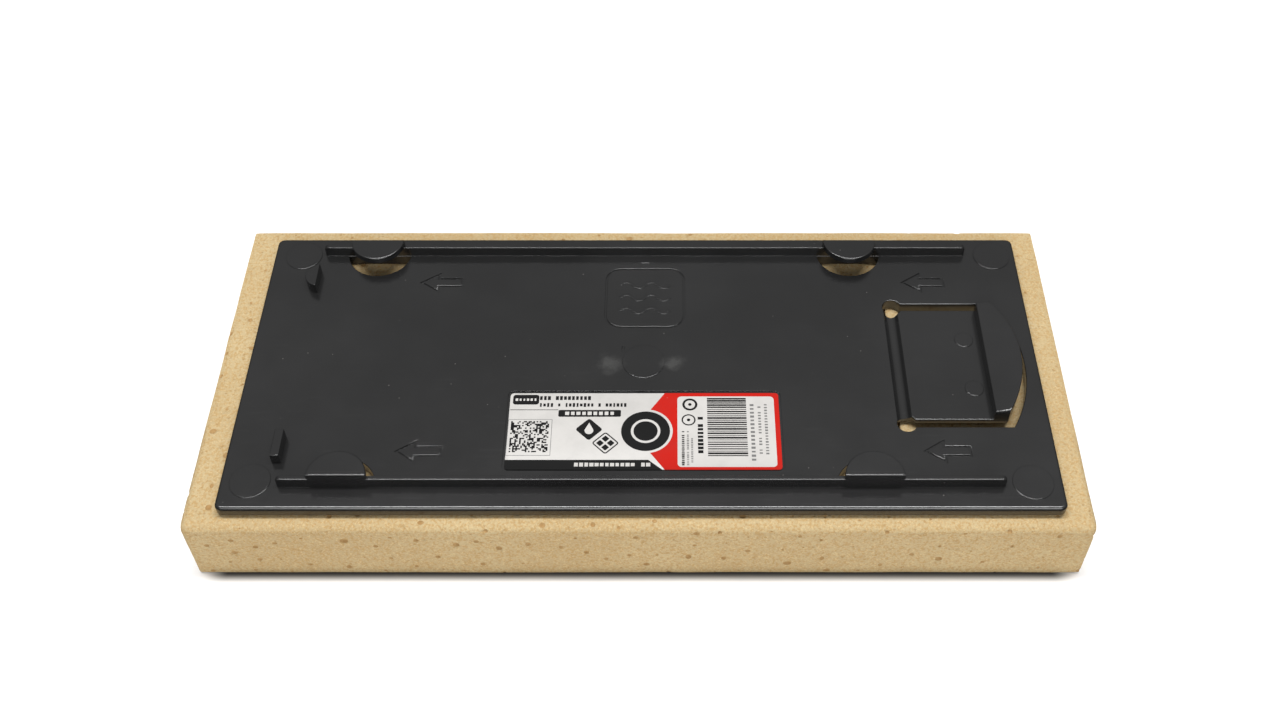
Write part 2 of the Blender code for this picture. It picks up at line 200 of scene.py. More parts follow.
class MouldingSettings(bpy.types.PropertyGroup):
    """Sizes and colours of the black moulding."""

    face: length("Face height", "Height of the plate's upper face", 0.0331)
    edge_round: length("Plate edge round", "Radius of the plate's outer edge", 0.0011)
    corner_round: length("Plate corner round", "Radius of the plate's corners, seen from above", 0.0024)
    rail_height: length("Rail height", "Height of the rails and stops over the plate", 0.0043)
    rail_thickness: length("Rail thickness", "Thickness of the two rails", 0.0017)
    bay_width: length("Bay width", "Distance between the rails' inner faces", 0.1028)
    hook_radius: length("Hook radius", "Radius of the half-round hooks", 0.0098)
    hook_thickness: length("Hook thickness", "Thickness of the half-round hooks", 0.0025)
    slot_width: length("Latch slot width", "Gap on both sides of the latch", 0.0031)
    colour: tint("Moulding colour", "Colour of the black moulding", (0.0095, 0.0095, 0.0096))


class LabelSettings(bpy.types.PropertyGroup):
    """Colours of the printed label."""

    film: tint("Film colour", "Colour of the bare film", (0.50, 0.485, 0.465))
    accent: tint("Accent ink", "Colour of the large printed field", (0.43, 0.007, 0.002))
    ink: tint("Dark ink", "Colour of the dark print", (0.006, 0.006, 0.006))
    seed: IntProperty(name="Print seed", description="Picks the print's small blocks", default=5)


class StageSettings(bpy.types.PropertyGroup):
    """Floor, lights and camera."""

    overhead: amount("Overhead light", "Power of the light over the object", 16.5, unit="POWER")
    front: amount("Front light", "Power of the low light in front", 11.0, unit="POWER")
    surround: amount("Surround", "Brightness of the studio's walls", 0.32)
    camera_place: FloatVectorProperty(
        name="Camera place",
        description="Where the camera stands",
        subtype="TRANSLATION",
        size=3,
        default=(0.010, -0.3107, 0.4121),
    )
    camera_tilt: amount("Camera tilt", "From straight down", radians(39.3), subtype="ANGLE")
    lens: amount("Lens", "Focal length, in millimetres", 39.05)
    shift: amount("Shift", "Sideways shift of the lens", -0.0227)


# --- Outlines: lists of (x, y), anticlockwise ---


def arc(centre, radius, start, end, steps):
    """Points along an arc from the angle start to the angle end."""
    turn = (end - start) / steps
    return [
        (centre[0] + radius * cos(start + turn * i), centre[1] + radius * sin(start + turn * i))
        for i in range(steps + 1)
    ]


def circle(centre, radius, steps=48):
    return arc(centre, radius, 0, FULL_TURN, steps)[:-1]


def rounded_rectangle(centre, length, width, radius, steps=6):
    points = []
    for quarter, (side_x, side_y) in enumerate(((1, 1), (-1, 1), (-1, -1), (1, -1))):
        corner = (
            centre[0] + side_x * (length / 2 - radius),
            centre[1] + side_y * (width / 2 - radius),
        )
        start = quarter * pi / 2
        points += arc(corner, radius, start, start + pi / 2, steps)
    return points


def bulged_end(corner, tip, middle, half_width, steps=28):
    """A shallow arc from the front corner, through the tip, to the rear corner."""
    rise = tip - corner
    radius = (half_width**2 + rise**2) / (2 * rise)
    reach = asin(half_width / radius)
    return arc((tip - radius, middle), radius, -reach, reach, steps)


def moved_outline(outline, distance):
    """The outline with each side moved outwards by a distance, or inwards if it is negative."""
    moved = []
    for i, point in enumerate(outline):
        here = Vector(point)
        into = (here - Vector(outline[i - 1])).normalized()
        onward = (Vector(outline[(i + 1) % len(outline)]) - here).normalized()
        side = Vector((into.y, -into.x))
        mitre = (side + Vector((onward.y, -onward.x))).normalized()
        moved.append(tuple(here + mitre * (distance / max(mitre.dot(side), 0.35))))
    return moved


def thick_line(points, half):
    """The outline of a line of some width with square ends."""
    left, right = [], []
    for i, point in enumerate(points):
        before = Vector(points[max(i - 1, 0)])
        after = Vector(points[min(i + 1, len(points) - 1)])
        along = (after - before).normalized()
        across = Vector((-along.y, along.x)) * half
        left.append(tuple(Vector(point) + across))
        right.append(tuple(Vector(point) - across))
    return right + left[::-1]


def turned(outline, centre, angle):
    """The outline turned about a point."""
    turn = Matrix.Rotation(angle, 2)
    middle = Vector(centre)
    return [tuple(middle + turn @ (Vector(point) - middle)) for point in outline]


# --- Mesh building ---


def add_ring(work, points):
    return [work.verts.new(point) for point in points]


def bridge(work, first, second, slot=0):
    """Quads between two rings of as many points."""
    count = len(first)
    for i in range(count):
        j = (i + 1) % count
        work.faces.new((first[i], first[j], second[j], second[i])).material_index = slot


def ring_edges(work, ring):
    return [work.edges.get((ring[i], ring[(i + 1) % len(ring)])) for i in range(len(ring))]


def fill(work, rings, slot=0):
    """Closes the flat area inside the first ring and outside the others."""
    edges = [edge for ring in rings for edge in ring_edges(work, ring)]
    made = bmesh.ops.triangle_fill(work, use_beauty=True, edges=edges)
    for item in made["geom"]:
        if isinstance(item, bmesh.types.BMFace):
            item.material_index = slot


def rounding(radius, steps):
    """Insets and drops of a quarter round, from a flat face down to the wall."""
    turns = [pi / 2 * i / steps for i in range(steps + 1)]
    return [(radius * (1 - sin(a)), radius * (1 - cos(a))) for a in turns]


def add_wall(work, outline, way, levels, slot):
    """A wall through rings given as (inset, height). Gives its first and last ring."""
    rings = []
    for inset, height in levels:
        around = moved_outline(outline, way * inset)
        rings.append(add_ring(work, [(x, y, height) for x, y in around]))
    for first, second in zip(rings, rings[1:]):
        bridge(work, first, second, slot)
    return rings[0], rings[-1]


def slab(work, outer, bottom, top, edge, holes=(), hole_edge=HOLE_EDGE, pockets=(), steps=4, slot=0):
    """A closed slab with rounded edges, through holes, and pockets given as (outline, depth, edge)."""
    roofs, floors = [], []
    walls = [(outer, -1, edge)] + [(outline, 1, hole_edge) for outline in holes]
    for outline, way, radius in walls:
        profile = rounding(radius, steps)
        levels = [(inset, top - drop) for inset, drop in profile]
        levels += [(inset, bottom + drop) for inset, drop in reversed(profile)]
        roof, floor = add_wall(work, outline, way, levels, slot)
        roofs.append(roof)
        floors.append(floor)
    for outline, depth, radius in pockets:
        levels = [(inset, top - drop) for inset, drop in rounding(radius, 2)]
        levels.append((0, top - depth))
        roof, floor = add_wall(work, outline, 1, levels, slot)
        work.faces.new(floor).material_index = slot
        roofs.append(roof)
    fill(work, roofs, slot)
    fill(work, floors, slot)


def tube(work, sections):
    """A skin over sections of as many points each, open at both ends. Gives the end rings."""
    rings = [add_ring(work, section) for section in sections]
    for first, second in zip(rings, rings[1:]):
        bridge(work, first, second)
    return rings[0], rings[-1]


def loft(work, sections):
    """A tube closed with flat ends."""
    for ring in tube(work, sections):
        work.faces.new(ring)


def evaluated_mesh(thing):
    """The object's mesh with its modifiers applied."""
    bpy.context.view_layer.update()
    result = thing.evaluated_get(bpy.context.evaluated_depsgraph_get())
    return bpy.data.meshes.new_from_object(result)


def piece(name, work, finishes, sharp=radians(38), even=True):
    """Turns the mesh being built into a finished object at the origin."""
    bmesh.ops.remove_doubles(work, verts=work.verts, dist=1e-7)
    bmesh.ops.recalc_face_normals(work, faces=work.faces)
    for face in work.faces:
        face.smooth = True
    for edge in work.edges:
        edge.smooth = edge.calc_face_angle(0) < sharp
    mesh = bpy.data.meshes.new(name)
    work.to_mesh(mesh)
    work.free()
    for finish in finishes:
        mesh.materials.append(finish)
    made = bpy.data.objects.new(name, mesh)
    bpy.context.scene.collection.objects.link(made)
    if even:
        step = made.modifiers.new("even_normals", "WEIGHTED_NORMAL")
        step.keep_sharp = True
        step.weight = 100
        made.data = evaluated_mesh(made)
        made.modifiers.remove(step)
        bpy.data.meshes.remove(mesh)
        made.data.name = name
    return made


# --- Node helpers ---


def add_node(tree, kind, inputs=None, **settings):
    """A node with its settings, and with each named or numbered input set or linked."""
    node = tree.nodes.new(kind)
    for key, value in settings.items():
        setattr(node, key, value)
    for key, value in (inputs or {}).items():
        socket = node.inputs[key]
        if isinstance(value, bpy.types.NodeSocket):
            tree.links.new(value, socket)
        else:
            socket.default_value = value
    return node


def output_of(tree, kind, inputs, output=0, **settings):
    """One output of a new node."""
    return add_node(tree, kind, inputs, **settings).outputs[output]


def arithmetic(tree, operation, first, second=0.0):
    return output_of(tree, "ShaderNodeMath", {0: first, 1: second}, operation=operation)


def blend_colours(tree, amount, first, second):
    return output_of(
        tree, "ShaderNodeMix", {0: amount, 6: first, 7: second}, 2, data_type="RGBA"
    )


def between(tree, value, low, high, start=0.0, end=1.0):
    """The value taken from the range low to high to the range start to end, smoothly and clamped."""
    inputs = {0: value, 1: low, 2: high, 3: start, 4: end}
    return output_of(tree, "ShaderNodeMapRange", inputs, interpolation_type="SMOOTHSTEP")


def solid(colour, scale=1.0):
    return (colour[0] * scale, colour[1] * scale, colour[2] * scale, 1.0)


def new_finish(name, roughness, specular=0.5):
    """A material with its tree, its shader and its object coordinates."""
    made = bpy.data.materials.new(name)
    made.use_nodes = True
    tree = made.node_tree
    shader = tree.nodes["Principled BSDF"]
    shader.inputs["Roughness"].default_value = roughness
    shader.inputs["Specular IOR Level"].default_value = specular
    place = tree.nodes.new("ShaderNodeTexCoord").outputs["Object"]
    return made, tree, shader, place


def noise(tree, place, scale, detail=2.0, roughness=0.5):
    inputs = {"Vector": place, "Scale": scale, "Detail": detail, "Roughness": roughness}
    return output_of(tree, "ShaderNodeTexNoise", inputs)


def cells(tree, place, scale):
    """Distance from the nearest cell centre, and a random number for each cell."""
    node = add_node(tree, "ShaderNodeTexVoronoi", {"Vector": place, "Scale": scale})
    part = add_node(tree, "ShaderNodeSeparateColor", {0: node.outputs["Color"]})
    return node.outputs["Distance"], part.outputs[0]


def spots(tree, place, scale, core, rim, least, most):
    """Dots in some of the cells of a pattern, full inside the core and gone at the rim."""
    distance, pick = cells(tree, place, scale)
    dots = between(tree, distance, core, rim, 1.0, 0.0)
    return arithmetic(tree, "MULTIPLY", dots, between(tree, pick, least, most))


def geometry_tree(name, sockets):
    """A geometry node tree. Its inputs are key: (name, kind, value), and its output is a mesh.

    Gives the tree, the inputs' identifiers by key, the inputs by name, and the output's socket.
    """
    tree = bpy.data.node_groups.new(name, "GeometryNodeTree")
    ids = {}
    for key, (label, kind, value) in sockets.items():
        socket = tree.interface.new_socket(
            name=label, in_out="INPUT", socket_type=f"NodeSocket{kind}"
        )
        if value is not None:
            socket.default_value = value
        ids[key] = socket.identifier
    tree.interface.new_socket(name="Mesh", in_out="OUTPUT", socket_type="NodeSocketGeometry")
    given = tree.nodes.new("NodeGroupInput").outputs
    return tree, ids, given, tree.nodes.new("NodeGroupOutput").inputs[0]


def add_bump(tree, shader, height, strength, distance):
    inputs = {"Height": height, "Strength": strength, "Distance": distance}
    tree.links.new(output_of(tree, "ShaderNodeBump", inputs), shader.inputs["Normal"])


# --- Finishes ---


def foam_finish(name, colour, dark):
    """Open-cell foam: a fine grain, patches of tint, and small pores between the cut ones, drawn as
    spots of painted shade with a bump.
    """
    made, tree, shader, place = new_finish(name, 0.95, 0.15)
    patches = between(tree, noise(tree, place, 26, 3, 0.6), 0.35, 0.68)
    warm = blend_colours(
        tree, patches, solid(colour, 0.96), (colour[0] * 1.03, colour[1] * 1.06, colour[2] * 1.10, 1)
    )
    grain = noise(tree, place, 1150, 2, 0.6)
    shade = (dark[0] * 1.12, dark[1] * 1.20, dark[2] * 1.25, 1)
    grained = blend_colours(tree, between(tree, grain, 0.36, 0.58, 0.85, 0.0), warm, shade)
    bright = between(tree, noise(tree, place, 1700, 1, 0.5), 0.54, 0.70, 0.0, 0.55)
    grained = blend_colours(tree, bright, grained, solid(colour, 1.3))
    # Painted shade: small dark spots stand for the shade inside tiny pores.
    painted_pit_shade = spots(tree, place, 620, 0.12, 0.34, 0.45, 0.75)
    with_pit_shade = blend_colours(tree, arithmetic(tree, "MULTIPLY", painted_pit_shade, 0.45), grained, solid(dark))
    # Painted shade: larger dark spots stand for the shade inside small pores.
    holes = spots(tree, place, 170, 0.04, 0.20, 0.62, 0.80)
    finished = blend_colours(tree, arithmetic(tree, "MULTIPLY", holes, 0.25), with_pit_shade, solid(dark, 1.1))
    tree.links.new(finished, shader.inputs["Base Color"])
    height = arithmetic(tree, "SUBTRACT", grain, arithmetic(tree, "MULTIPLY", painted_pit_shade, 0.7))
    height = arithmetic(tree, "SUBTRACT", height, arithmetic(tree, "MULTIPLY", holes, 1.6))
    add_bump(tree, shader, height, 0.75, 0.0003)
    return made


def pore_finish(name, colour, dark):
    """The inside of an open pore, painted darker than the cut face as shade in the hollow."""
    made, tree, shader, place = new_finish(name, 0.95, 0.1)
    shade = between(tree, noise(tree, place, 700, 2), 0.35, 0.65)
    blended = blend_colours(tree, 0.25, solid(dark), solid(colour))
    tree.links.new(
        blend_colours(tree, shade, solid(dark, 0.9), blended), shader.inputs["Base Color"]
    )
    add_bump(tree, shader, shade, 0.4, 0.0002)
    return made


def moulding_finish(name, colour, blotches=()):
    """Satin black plastic with a fine texture, dust, light scuffs and pale stressed patches."""
    made, tree, shader, place = new_finish(name, 0.2, 0.9)
    tone = between(tree, noise(tree, place, 18, 3, 0.55), 0.35, 0.7)
    base = blend_colours(tree, tone, solid(colour, 0.85), solid(colour, 1.25))
    dust = spots(tree, place, 230, 0.03, 0.075, 0.80, 0.92)
    dusty = blend_colours(
        tree, arithmetic(tree, "MULTIPLY", dust, 0.5), base, (0.16, 0.15, 0.14, 1)
    )
    for centre, radius in blotches:
        away = add_node(
            tree, "ShaderNodeVectorMath", {0: place, 1: centre}, operation="DISTANCE"
        ).outputs["Value"]
        ragged = arithmetic(
            tree, "MULTIPLY", arithmetic(tree, "SUBTRACT", noise(tree, place, 260, 3, 0.7), 0.5), 0.008
        )
        patch = between(tree, arithmetic(tree, "ADD", away, ragged), 0.0, radius, 0.24, 0.0)
        dusty = blend_colours(tree, patch, dusty, (0.13, 0.13, 0.125, 1))
    tree.links.new(dusty, shader.inputs["Base Color"])
    stretched = add_node(
        tree, "ShaderNodeMapping", {"Vector": place, "Scale": (60, 900, 60), "Rotation": (0, 0, 0.5)}
    ).outputs[0]
    scuff = between(tree, noise(tree, stretched, 1.0, 1, 0.4), 0.66, 0.72)
    haze = between(tree, noise(tree, place, 45, 4, 0.6), 0.3, 0.75, 0.18, 0.22)
    rough = arithmetic(tree, "ADD", haze, arithmetic(tree, "MULTIPLY", scuff, 0.03))
    tree.links.new(rough, shader.inputs["Roughness"])
    grain = noise(tree, place, 2600, 2, 0.6)
    add_bump(tree, shader, arithmetic(tree, "ADD", grain, dust), 0.25, 0.00002)
    return made


def printed_finish(name, colour, roughness=0.34, specular=0.3):
    """Film or ink: a thin gloss with faint handling marks."""
    made, tree, shader, place = new_finish(name, roughness, specular)
    smudge = between(tree, noise(tree, place, 120, 4, 0.6), 0.35, 0.75)
    tinted = blend_colours(tree, smudge, solid(colour), solid(colour, 0.90))
    dots = spots(tree, place, 420, 0.05, 0.10, 0.86, 0.92)
    tinted = blend_colours(
        tree, arithmetic(tree, "MULTIPLY", dots, 0.25), tinted, (0.30, 0.29, 0.28, 1)
    )
    tree.links.new(tinted, shader.inputs["Base Color"])
    rough = between(tree, smudge, 0, 1, roughness - 0.05, roughness + 0.08)
    tree.links.new(rough, shader.inputs["Roughness"])
    add_bump(tree, shader, noise(tree, place, 380, 2), 0.12, 0.00003)
    return made


def glue_finish(name):
    """Dried contact glue: dull amber with streaks."""
    made, tree, shader, place = new_finish(name, 0.5)
    streaks = between(tree, noise(tree, place, 90, 4, 0.6), 0.3, 0.7)
    tree.links.new(
        blend_colours(tree, streaks, (0.36, 0.24, 0.09, 1), (0.52, 0.39, 0.18, 1)),
        shader.inputs["Base Color"],
    )
    add_bump(tree, shader, streaks, 0.4, 0.0001)
    return made


# --- Foam ---


def foam_tree():
    """Geometry nodes that make a block's faces uneven, open pores in them, and cut one pocket."""
    tree, ids, given, result = geometry_tree(
        "foam_pores",
        {
            "block": ("Block", "Geometry", None),
            "unevenness": ("Unevenness", "Float", 0.0002),
            "spacing": ("Pore spacing", "Float", 0.005),
            "radius": ("Largest pore", "Float", 0.0015),
            "seed": ("Seed", "Int", 1),
            "pocket_size": ("Pocket size", "Vector", (0, 0, 0)),
            "pocket_centre": ("Pocket centre", "Vector", (0, 0, 0)),
            "foam": ("Foam", "Material", None),
            "pore": ("Pore", "Material", None),
        },
    )

    put = partial(output_of, tree)

    def scaled(vector, amount):
        return put("ShaderNodeVectorMath", {0: vector, "Scale": amount}, operation="SCALE")

    wander = put(
        "ShaderNodeTexNoise", {"Scale": 38.0, "Detail": 2.0}, "Color", noise_dimensions="3D"
    )
    centred = put("ShaderNodeVectorMath", {0: wander, 1: (0.5, 0.5, 0.5)}, operation="SUBTRACT")
    offset = scaled(centred, arithmetic(tree, "MULTIPLY", given["Unevenness"], 2.0))
    uneven = put("GeometryNodeSetPosition", {"Geometry": given["Block"], "Offset": offset})
    foam = put("GeometryNodeSetMaterial", {"Geometry": uneven, "Material": given["Foam"]})

    scattered = add_node(
        tree,
        "GeometryNodeDistributePointsOnFaces",
        {
            "Mesh": foam,
            "Distance Min": given["Pore spacing"],
            "Density Max": 26000.0,
            "Seed": given["Seed"],
        },
        distribute_method="POISSON",
    ).outputs
    chance = put(
        "FunctionNodeRandomValue", {2: 0.0, 3: 1.0, 8: given["Seed"]}, 1, data_type="FLOAT"
    )
    skewed = arithmetic(tree, "POWER", chance, 1.6)
    share = put("ShaderNodeMapRange", {0: skewed, 3: 0.28, 4: 1.0})
    radius = arithmetic(tree, "MULTIPLY", share, given["Largest pore"])
    lift = scaled(scattered["Normal"], arithmetic(tree, "MULTIPLY", radius, 0.58))
    squeeze = put(
        "FunctionNodeRandomValue",
        {0: (0.75, 0.75, 0.75), 1: (1.15, 1.15, 1.0), 8: 3},
        data_type="FLOAT_VECTOR",
    )
    balls = put(
        "GeometryNodeInstanceOnPoints",
        {
            "Points": put(
                "GeometryNodeSetPosition", {"Geometry": scattered["Points"], "Offset": lift}
            ),
            "Instance": put("GeometryNodeMeshIcoSphere", {"Radius": 1.0, "Subdivisions": 2}),
            "Rotation": scattered["Rotation"],
            "Scale": scaled(squeeze, radius),
        },
    )
    real = put("GeometryNodeRealizeInstances", {0: balls})
    pores = put("GeometryNodeSetMaterial", {"Geometry": real, "Material": given["Pore"]})
    pocket = put("GeometryNodeMeshCube", {"Size": given["Pocket size"]})
    pocket = put(
        "GeometryNodeTransform", {"Geometry": pocket, "Translation": given["Pocket centre"]}
    )
    pocket = put("GeometryNodeSetMaterial", {"Geometry": pocket, "Material": given["Foam"]})
    cutters = tree.nodes.new("GeometryNodeJoinGeometry")
    for cutter in (pocket, pores):
        tree.links.new(cutter, cutters.inputs[0])
    cut = put(
        "GeometryNodeMeshBoolean",
        {"Mesh 1": foam, "Mesh 2": cutters.outputs[0], "Self Intersection": True},
        operation="DIFFERENCE",
        solver="EXACT",
    )
    tree.links.new(cut, result)
    return tree, ids


def soft_block(low, high, edge, foot, cell):
    """A box divided into even cells, with rounded edges: edge at the top front, foot elsewhere."""
    centre = (low + high) / 2
    half = (high - low) / 2
    stations = []
    for size in half:
        inner = size - edge
        count = max(int(round(2 * inner / cell)), 1)
        middle = [-inner + 2 * inner * i / count for i in range(count + 1)]
        turns = [edge * tan(radians(angle)) for angle in (15, 30)]
        stations.append(
            [-size]
            + [-inner - turn for turn in reversed(turns)]
            + middle
            + [inner + turn for turn in turns]
            + [size]
        )
    last = [len(row) - 1 for row in stations]
    work = bmesh.new()
    made = {}

    def corner(i, j, k):
        if (i, j, k) not in made:
            outer = Vector((stations[0][i], stations[1][j], stations[2][k]))
            rise = (outer.z + half.z) / (2 * half.z)
            front = (half.y - outer.y) / (2 * half.y)
            large = foot + (edge - foot) * rise * front
            radii = (foot, large, large)
            inner = Vector(
                max(-half[a] + radii[a], min(half[a] - radii[a], outer[a])) for a in range(3)
            )
            away = Vector((outer[a] - inner[a]) / radii[a] for a in range(3)).normalized()
            away = Vector(away[a] * radii[a] for a in range(3))
            made[i, j, k] = work.verts.new(centre + inner + away)
        return made[i, j, k]

    for axis in range(3):
        one, two = (axis + 1) % 3, (axis + 2) % 3
        for end in (0, last[axis]):
            for i in range(last[one]):
                for j in range(last[two]):
                    corners = []
                    for di, dj in ((0, 0), (1, 0), (1, 1), (0, 1)):
                        index = [0, 0, 0]
                        index[axis] = end
                        index[one] = i + di
                        index[two] = j + dj
                        corners.append(corner(*index))
                    work.faces.new(corners if end else corners[::-1])
    return work


def pored(name, work, finishes, ids, tree, settings):
    """Runs the foam's node tree on a block and keeps the result as a plain mesh."""
    block = piece(f"{name}_block", work, finishes, even=False)
    step = block.modifiers.new("pores", "NODES")
    step.node_group = tree
    for key, value in settings.items():
        step[ids[key]] = value
    mesh = evaluated_mesh(block)
    old = block.data
    bpy.data.objects.remove(block, do_unlink=True)
    bpy.data.meshes.remove(old)
    work = bmesh.new()
    work.from_mesh(mesh)
    wanted = [finishes.index(used) for used in mesh.materials]
    for face in work.faces:
        face.material_index = wanted[face.material_index]
    bpy.data.meshes.remove(mesh)
    return piece(name, work, finishes, sharp=radians(50), even=False)


class GROUT_OT_foam(bpy.types.Operator):
    """Build the foam block and the stretch of it that gives way under the latch"""

    bl_idname = "grout_float.foam"
    bl_label = "Foam block"

    def execute(self, context):
        sizes = context.scene.grout_float_sponge
        finishes = [
            foam_finish("sponge_foam", sizes.colour, sizes.grain_and_pore_shade_colour),
            pore_finish("sponge_pore_painted_shade", sizes.colour, sizes.grain_and_pore_shade_colour),
        ]
        tree, ids = foam_tree()
        top = sizes.top
        reach = TONGUE_HALF + GIVE_REACH
        low = Vector((HINGE_LEFT + GIVE_ENDS[0], LATCH_Y - reach, GIVE_FLOOR))
        high = Vector((PLATE_HIGH.x - GIVE_ENDS[1], LATCH_Y + reach, top))
        pocket_low = low - Vector((GIVE_GAP, GIVE_GAP, GIVE_GAP))
        pocket_high = high + Vector((GIVE_GAP, GIVE_GAP, POCKET_ABOVE))
        common = {
            "unevenness": sizes.unevenness,
            "spacing": sizes.pore_spacing,
            "radius": sizes.pore_radius,
            "foam": finishes[0],
            "pore": finishes[1],
        }
        skin = sizes.unevenness * 0.8  # keeps the uneven faces inside the block's true size
        block = pored(
            "sponge",
            soft_block(
                SPONGE_LOW + Vector((skin, skin, skin)),
                Vector((SPONGE_HIGH.x - skin, SPONGE_HIGH.y - skin, top)),
                sizes.edge_round,
                FOAM_EDGE,
                sizes.cell,
            ),
            finishes,
            ids,
            tree,
            common
            | {
                "seed": sizes.seed,
                "pocket_size": pocket_high - pocket_low,
                "pocket_centre": (pocket_low + pocket_high) / 2,
            },
        )
        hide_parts("sponge_block")
        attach(block, "base")

        give = pored(
            "sponge_under_latch",
            soft_block(low, high, GIVE_EDGE, GIVE_EDGE, sizes.cell),
            finishes,
            ids,
            tree,
            common
            | {
                "seed": sizes.seed + 1,
                "pocket_size": Vector((0.001, 0.001, 0.001)),
                "pocket_centre": Vector((0, 0, -0.05)),
            },
        )
        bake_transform(give)
        return {"FINISHED"}


# --- Carrier plate ---


def latch_opening(slot_width):
    """The opening round the latch: hinge groove, two relief holes, side slots and the round end."""
    half = TONGUE_HALF + slot_width
    relief_y = TONGUE_HALF + slot_width / 2
    to_groove = asin(sqrt(RELIEF_RADIUS**2 - (RELIEF_X - HINGE_LEFT) ** 2) / RELIEF_RADIUS)
    to_slot = asin(slot_width / 2 / RELIEF_RADIUS)
    rear = arc((RELIEF_X, LATCH_Y + relief_y), RELIEF_RADIUS, to_slot, pi + to_groove, 22)
    front = arc((RELIEF_X, LATCH_Y - relief_y), RELIEF_RADIUS, pi - to_groove, FULL_TURN - to_slot, 22)
    end = bulged_end(CUTOUT_CORNER, CUTOUT_TIP, LATCH_Y, half)
    return end + rear + front


def mould_hole(centre_x, side, sizes):
    """The half-moon hole under a hook, flat along the rail's inner face."""
    radius = sizes.hook_radius + MOULD_HOLE_MARGIN
    reach = acos((sizes.rail_thickness + 0.0001) / radius)
    middle = -side * pi / 2
    centre = (centre_x, BAY_Y + side * (sizes.bay_width / 2 + sizes.rail_thickness))
    return arc(centre, radius, middle - reach, middle + reach, 40)


def rail_section(half, height, top_round, outer_fillet, inner_fillet, side):
    """Across a rail: (y from its middle, z over the plate), from its outer foot over the top."""
    top_round = min(top_round, half * 0.9)
    points = []
    for way, fillet in ((1, outer_fillet), (-1, inner_fillet)):
        flank = [(half + fillet, -SINK), (half + fillet, 0)]
        for turn in (0.25, 0.5, 0.75, 1.0):
            angle = -pi / 2 - turn * pi / 2
            flank.append((half + fillet + fillet * cos(angle), fillet + fillet * sin(angle)))
        for turn in (0.0, 0.34, 0.67, 1.0):
            angle = turn * pi / 2
            flank.append(
                (half - top_round + top_round * cos(angle), height - top_round + top_round * sin(angle))
            )
        flank = [(way * side * y, z) for y, z in flank]
        points += flank if way > 0 else flank[::-1]
    return points


def add_rail(work, side, sizes):
    """A rib with a small fillet at its foot, left out where the rail borders a mould hole."""
    start = PLATE_LOW.x + RAIL_END_INSET
    end = PLATE_HIGH.x - RAIL_END_INSET
    half = sizes.rail_thickness / 2
    top_round = 0.0003 if side < 0 else 0.0002
    middle = BAY_Y + side * (sizes.bay_width / 2 + half)
    reach = sizes.hook_radius + BARE_MARGIN
    bare = [(x - reach, x + reach) for x in HOOK_XS]
    xs = [start + half * (1 - cos(pi / 2 * i / 5)) for i in range(6)]
    xs += [start + RAIL_NOSE * share for share in (0.65, 0.82, 1.0)]
    for low, high in bare:
        xs += [low - BARE_FADE, low, high, high + BARE_FADE]
    xs += [end - RAIL_NOSE * share for share in (1.0, 0.82, 0.65)]
    xs += [end - half * (1 - cos(pi / 2 * i / 5)) for i in range(5, -1, -1)]
    sections = []
    for x in xs:
        near = min(x - start, end - x)
        width = sqrt(max(half**2 - max(half - near, 0) ** 2, 0))
        width = max(width, half * 0.18)
        drop = RAIL_NOSE - sqrt(max(RAIL_NOSE**2 - max(RAIL_NOSE - near, 0) ** 2, 0))
        inside = any(low <= x <= high for low, high in bare)
        fillet = BARE_FILLET if inside else RAIL_FILLET
        section = rail_section(
            width, sizes.rail_height - drop, top_round, RAIL_FILLET, fillet, side
        )
        sections.append([(x, middle + y, sizes.face + z) for y, z in section])
    loft(work, sections)


def add_hook(work, centre_x, side, sizes):
    """A half disc over the bay and the wall under it, as one closed shape."""
    radius = sizes.hook_radius
    centre_y = BAY_Y + side * (sizes.bay_width / 2 + sizes.rail_thickness)
    ceiling = sizes.face + sizes.rail_height + OVER_RAIL
    top = ceiling + sizes.hook_thickness
    start = pi if side > 0 else 0
    round_side = arc((0, 0), radius, start, start + pi, 36)
    straight = [(radius * cos(start + pi) * (1 - i / 5), 0.0) for i in range(1, 10)]
    outline = round_side + straight
    lower = HOOK_CHAMFER / radius
    small = [(x * (1 - lower), y * (1 - lower)) for x, y in outline]
    depth = sizes.rail_thickness
    wall = [(x, max(y, -depth) if side > 0 else min(y, depth)) for x, y in small]

    def ring(points, height):
        return [(centre_x + x, centre_y + side * HOOK_OFFSET + y, height) for x, y in points]

    sections = [ring(wall, sizes.face - SINK), ring(wall, ceiling), ring(small, ceiling)]
    sections.append(ring(outline, ceiling + HOOK_CHAMFER))
    for inset, drop in reversed(rounding(HOOK_EDGE, 4)):
        sections.append(ring(moved_outline(outline, -inset), top - drop))
    loft(work, sections)


def add_stops(work, sizes):
    """Two short ribs: a plain one in front and a round-backed one behind."""
    spacing = sizes.bay_width - 2 * STOP_SIDE_INSET
    low = sizes.face - SINK
    high = sizes.face + sizes.rail_height
    front = BAY_Y - spacing / 2
    back = STOP_FACE - STOP_THICKNESS
    plain = [
        (STOP_FACE, front - STOP_HALF),
        (STOP_FACE, front + STOP_HALF),
        (back, front + STOP_HALF),
        (back, front - STOP_HALF),
    ]
    slab(work, plain, low, high, STOP_EDGE)
    radius = (STOP_HALF**2 + ROUND_STOP_THICKNESS**2) / (2 * ROUND_STOP_THICKNESS)
    reach = asin(STOP_HALF / radius)
    centre = (STOP_FACE + radius - ROUND_STOP_THICKNESS, BAY_Y + spacing / 2)
    backed = arc(centre, radius, pi - reach, pi + reach, 20)
    slab(work, backed, low, high, STOP_EDGE)


def add_raised(work, outline, rise, sizes, edge=MARK_EDGE):
    """A low island on the plate's face."""
    slab(work, outline, sizes.face - SINK, sizes.face + rise, edge, steps=3)


def add_field(work, outline, sizes):
    """The raised field inside an engraved line, level with the plate's face."""
    slab(work, outline, sizes.face - ENGRAVED - SINK, sizes.face, MARK_EDGE, steps=3)


